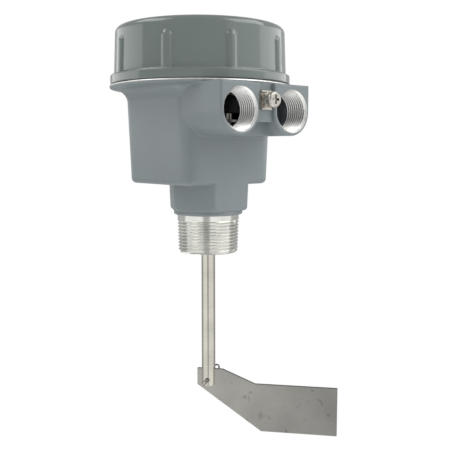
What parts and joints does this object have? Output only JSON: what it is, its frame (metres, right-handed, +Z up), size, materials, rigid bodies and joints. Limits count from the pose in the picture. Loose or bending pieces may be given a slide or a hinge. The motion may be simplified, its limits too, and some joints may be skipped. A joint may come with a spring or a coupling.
{
  "type": "paddle level switch",
  "caption": "Rotary paddle level switch: screw-lid cast housing with twin conduit entries, hex neck, pipe-thread process connection, and a shaft turning a boot-shaped vane.",
  "frame": {"origin": "on the shaft axis, at the shoulder where the process thread meets the neck", "axes": "+Z up along the shaft towards the lid, conduit entries face -Y"},
  "size_m": [0.1228, 0.1388, 0.2781],
  "materials": {
    "body_paint": "satin grey enamel on cast aluminium",
    "lid_paint": "semi-gloss grey enamel on cast aluminium",
    "machined": "bright turned",
    "stainless": "bright drawn stainless",
    "vane_steel": "mill finish stainless sheet",
    "plated": "nickel plated",
    "bearing_steel": "ground",
    "spring_steel": "dark spring wire",
    "zinc_steel": "zinc plated",
    "brass": "turned",
    "seal_rubber": "matt black",
    "friction_lining": "fibre lining",
    "black_plastic": "moulded black",
    "red_plastic": "moulded red",
    "board": "glass laminate, green"
  },
  "bodies": {
    "housing": {"housing_body": "body_paint", "process_bushing": "machined", "lower_bearing": "bearing_steel", "upper_bearing": "bearing_steel", "shaft_seal": "seal_rubber", "ground_clamp": "plated", "ground_flat_washer": "plated", "ground_spring_washer": "plated", "ground_screw": "plated", "inner_ground_screw": "plated", "chassis_plate": "black_plastic", "carrier_clip": "spring_steel", "fixed_spring_post": "zinc_steel", "return_spring": "spring_steel", "rest_stop": "zinc_steel", "signal_switch": "black_plastic", "motor_switch": "black_plastic", "switch_screws": "plated", "board_standoffs": "plated", "terminal_board": "board", "board_screws": "plated", "terminal_block": "black_plastic", "terminal_screws": "plated"},
    "rotor": {"paddle_shaft": "stainless", "lower_circlip": "spring_steel", "upper_circlip": "spring_steel", "paddle": "vane_steel", "cotter_pin": "stainless", "motor_output_shaft": "stainless", "spring_collar": "zinc_steel", "clutch_spring": "spring_steel", "clutch_driver": "brass", "clutch_disc": "friction_lining", "clutch_hub": "brass", "hub_set_screw": "spring_steel"},
    "carrier": {"motor_carrier": "zinc_steel", "trip_pin": "zinc_steel", "carrier_spring_post": "zinc_steel", "motor_spacers": "plated", "motor_screws": "plated", "motor_gearbox": "black_plastic", "motor_can": "zinc_steel"},
    "signal_lever_body": {"signal_lever": "spring_steel"},
    "motor_lever_body": {"motor_lever": "spring_steel"},
    "signal_plunger_body": {"signal_plunger": "red_plastic"},
    "motor_plunger_body": {"motor_plunger": "red_plastic"},
    "seal_ring": {"lid_seal": "seal_rubber"},
    "lid": {"housing_lid": "lid_paint"}
  },
  "joints": [
    {"name": "paddle_turn", "type": "hinge", "parent": "housing", "child": "rotor", "pos_m": [0, 0, 0], "axis": [0, 0, 1], "continuous": true},
    {"name": "carrier_swivel", "type": "hinge", "parent": "housing", "child": "carrier", "pos_m": [0, 0, 0.06], "axis": [0, 0, 1], "range_deg": [0, 8], "stiffness_Nm_per_rad": 0.15, "springref_deg": -20.05, "deforming": ["return_spring"]},
    {"name": "signal_lever_tilt", "type": "hinge", "parent": "housing", "child": "signal_lever_body", "pos_m": [-0.0091, 0.013, 0.0497], "axis": [0, 0, 1], "range_deg": [0, 17]},
    {"name": "motor_lever_tilt", "type": "hinge", "parent": "housing", "child": "motor_lever_body", "pos_m": [-0.0091, 0.013, 0.0561], "axis": [0, 0, 1], "range_deg": [0, 17]},
    {"name": "signal_plunger_press", "type": "slide", "parent": "housing", "child": "signal_plunger_body", "axis": [-1, 0, 0], "range_m": [0, 0.0016]},
    {"name": "motor_plunger_press", "type": "slide", "parent": "housing", "child": "motor_plunger_body", "axis": [-1, 0, 0], "range_m": [0, 0.0016]},
    {"name": "lid_lift", "type": "slide", "parent": "housing", "child": "seal_ring", "axis": [0, 0, 1], "range_m": [0, 0.0121]},
    {"name": "lid_turn", "type": "hinge", "parent": "seal_ring", "child": "lid", "pos_m": [0, 0.0083, 0.09], "axis": [0, 0, 1], "range_deg": [0, 1440]}
  ],
  "couplings": [
    {"joint": "signal_lever_tilt", "follows": "carrier_swivel", "ratio": 2.1},
    {"joint": "motor_lever_tilt", "follows": "carrier_swivel", "ratio": 2.1},
    {"joint": "signal_plunger_press", "follows": "carrier_swivel", "m_per_rad": 0.010743},
    {"joint": "motor_plunger_press", "follows": "carrier_swivel", "m_per_rad": 0.010743},
    {"joint": "lid_lift", "follows": "lid_turn", "m_per_rad": 0.00047746}
  ]
}
